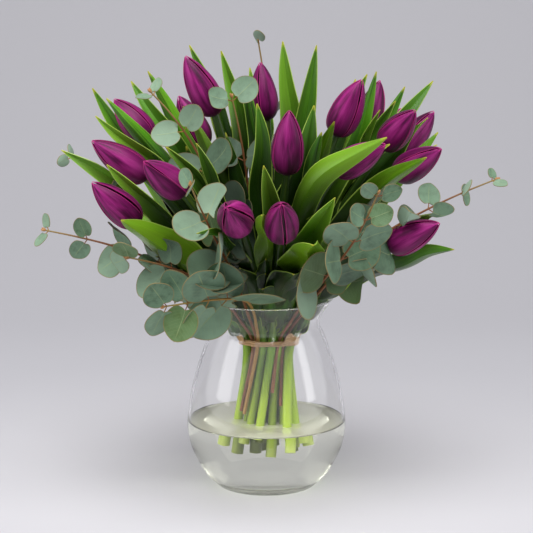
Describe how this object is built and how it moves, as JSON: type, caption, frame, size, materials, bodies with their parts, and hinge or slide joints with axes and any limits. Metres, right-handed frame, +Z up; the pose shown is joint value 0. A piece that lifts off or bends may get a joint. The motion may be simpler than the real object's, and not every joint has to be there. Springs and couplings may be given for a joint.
{
  "type": "tulips in a vase",
  "caption": "Tied bouquet of closed purple tulips and round-leaved eucalyptus standing in a clear glass bulb vase partly filled with water.",
  "frame": {"origin": "middle of the vase's flat underside", "axes": "+Z up along the vase's axis, -Y towards whoever looks at the bouquet's face, +X to that person's right"},
  "size_m": [0.4472, 0.3461, 0.4475],
  "materials": {
    "glass": "clear, polished",
    "water": "clear liquid",
    "raffia": "matte plant fibre",
    "petal": "satin purple petal",
    "tulip_green": "satin green stem and leaf",
    "eucalyptus_green": "matte grey-green leaf"
  },
  "bodies": {
    "root": {"vase": "glass", "water": "water", "tie": "raffia", "tulip_01_bloom": "petal", "tulip_01_stem": "tulip_green", "tulip_02_bloom": "petal", "tulip_02_stem": "tulip_green", "tulip_03_bloom": "petal", "tulip_03_stem": "tulip_green", "tulip_04_bloom": "petal", "tulip_04_stem": "tulip_green", "tulip_05_bloom": "petal", "tulip_05_stem": "tulip_green", "tulip_06_bloom": "petal", "tulip_06_stem": "tulip_green", "tulip_07_bloom": "petal", "tulip_07_stem": "tulip_green", "tulip_08_bloom": "petal", "tulip_08_stem": "tulip_green", "tulip_09_bloom": "petal", "tulip_09_stem": "tulip_green", "tulip_10_bloom": "petal", "tulip_10_stem": "tulip_green", "tulip_11_bloom": "petal", "tulip_11_stem": "tulip_green", "tulip_12_bloom": "petal", "tulip_12_stem": "tulip_green", "tulip_13_bloom": "petal", "tulip_13_stem": "tulip_green", "tulip_14_bloom": "petal", "tulip_14_stem": "tulip_green", "tulip_15_bloom": "petal", "tulip_15_stem": "tulip_green", "tulip_16_bloom": "petal", "tulip_16_stem": "tulip_green", "tulip_17_bloom": "petal", "tulip_17_stem": "tulip_green", "tulip_18_bloom": "petal", "tulip_18_stem": "tulip_green", "tulip_19_bloom": "petal", "tulip_19_stem": "tulip_green", "tulip_20_bloom": "petal", "tulip_20_stem": "tulip_green", "tulip_21_bloom": "petal", "tulip_21_stem": "tulip_green", "tulip_22_bloom": "petal", "tulip_22_stem": "tulip_green", "eucalyptus_01": "eucalyptus_green", "eucalyptus_02": "eucalyptus_green", "eucalyptus_03": "eucalyptus_green", "eucalyptus_04": "eucalyptus_green", "eucalyptus_05": "eucalyptus_green", "eucalyptus_06": "eucalyptus_green", "eucalyptus_07": "eucalyptus_green", "eucalyptus_08": "eucalyptus_green", "eucalyptus_09": "eucalyptus_green", "eucalyptus_10": "eucalyptus_green", "eucalyptus_11": "eucalyptus_green", "eucalyptus_12": "eucalyptus_green"}
  },
  "joints": []
}
